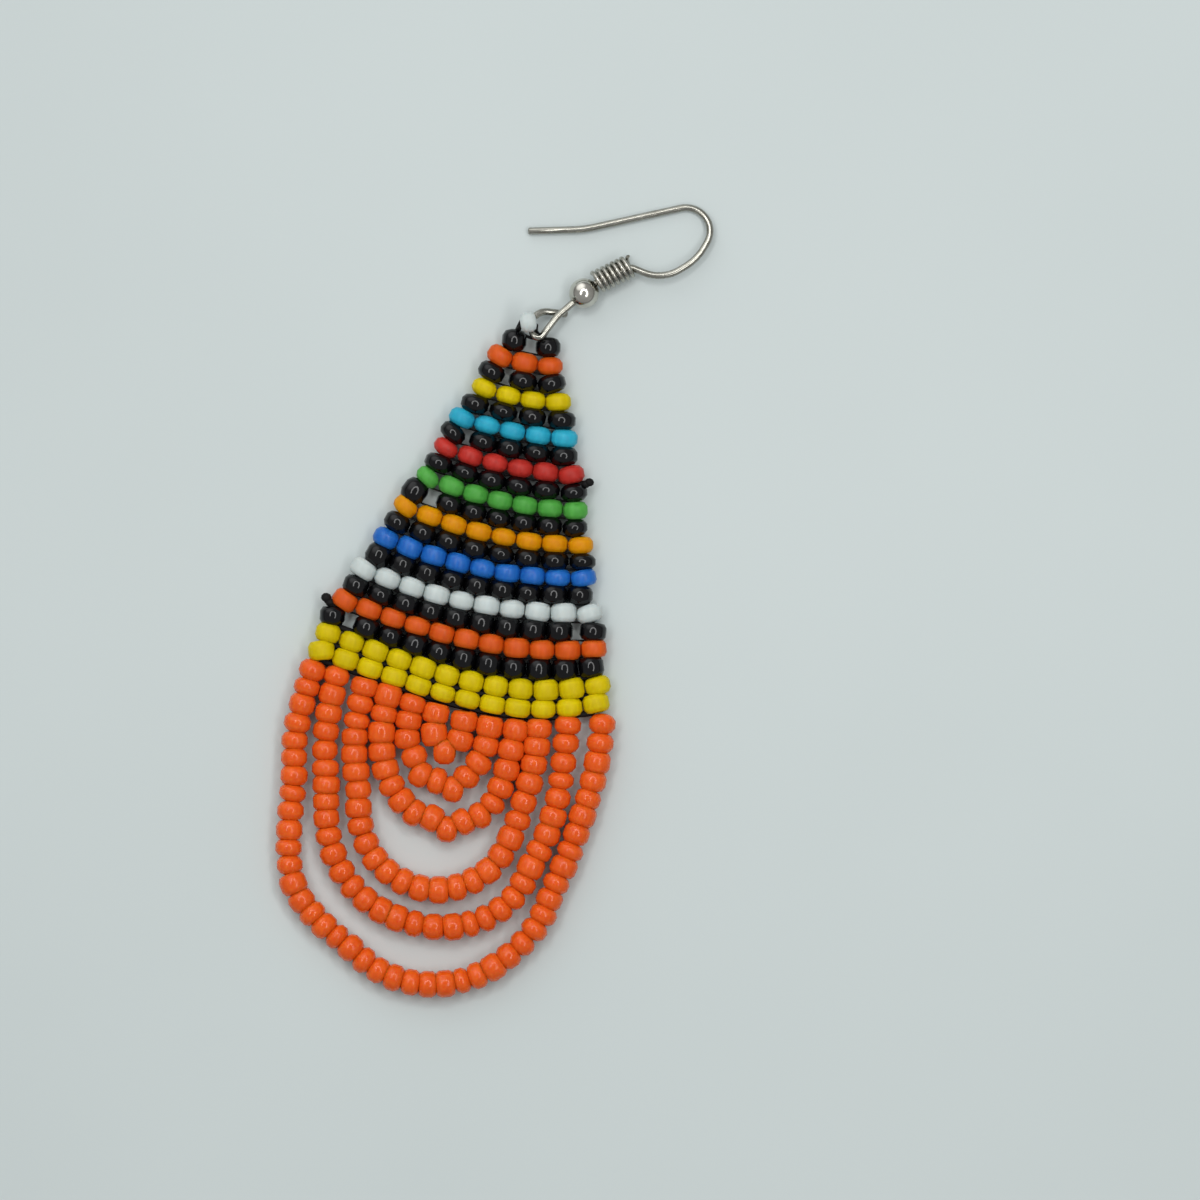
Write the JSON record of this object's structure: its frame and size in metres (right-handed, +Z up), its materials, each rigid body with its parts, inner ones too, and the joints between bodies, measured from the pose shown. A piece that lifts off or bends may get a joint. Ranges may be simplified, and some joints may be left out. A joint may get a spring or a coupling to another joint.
{
  "type": "beaded drop earring",
  "caption": "Drop earring of glass seed beads: a striped triangular panel that widens downwards, nested bead swags below it and a bent wire ear hook with a ball and a coil, lying flat.",
  "frame": {"origin": "middle of the footprint, on the surface that the earring lies on", "axes": "+Y along the earring towards its hook, +X across its rows of beads, +Z up from the surface"},
  "size_m": [0.0322, 0.083, 0.0044],
  "materials": {
    "nickel_wire": "nickel-plated wire, bright",
    "nickel_ball": "nickel-plated ball, bright",
    "nickel_coil": "nickel-plated coiled wire, bright",
    "black_glass": "opaque black glass, glossy",
    "orange_glass": "opaque orange glass, glossy",
    "yellow_glass": "opaque yellow glass, satin",
    "turquoise_glass": "opaque turquoise glass, glossy",
    "red_glass": "opaque red glass, glossy",
    "green_glass": "opaque green glass, glossy",
    "amber_glass": "opaque amber glass, glossy",
    "blue_glass": "opaque blue glass, glossy",
    "white_glass": "opaque white glass, satin",
    "coral_glass": "opaque red-orange glass, glossy"
  },
  "bodies": {
    "root": {"ear_hook": "nickel_wire", "hook_ball": "nickel_ball", "hook_coil": "nickel_coil", "top_bead": "white_glass", "bead_row_01": "black_glass", "bead_row_02": "orange_glass", "bead_row_03": "black_glass", "bead_row_04": "yellow_glass", "bead_row_05": "black_glass", "bead_row_06": "turquoise_glass", "bead_row_07": "black_glass", "bead_row_08": "red_glass", "bead_row_09": "black_glass", "bead_row_10": "green_glass", "bead_row_11": "black_glass", "bead_row_12": "amber_glass", "bead_row_13": "black_glass", "bead_row_14": "blue_glass", "bead_row_15": "black_glass", "bead_row_16": "white_glass", "bead_row_17": "black_glass", "bead_row_18": "orange_glass", "bead_row_19": "black_glass", "bead_row_20": "yellow_glass", "bead_row_21": "yellow_glass", "swag_1": "coral_glass", "swag_2": "coral_glass", "swag_3": "coral_glass", "swag_4": "coral_glass", "swag_5": "coral_glass", "swag_6": "coral_glass"}
  },
  "joints": []
}
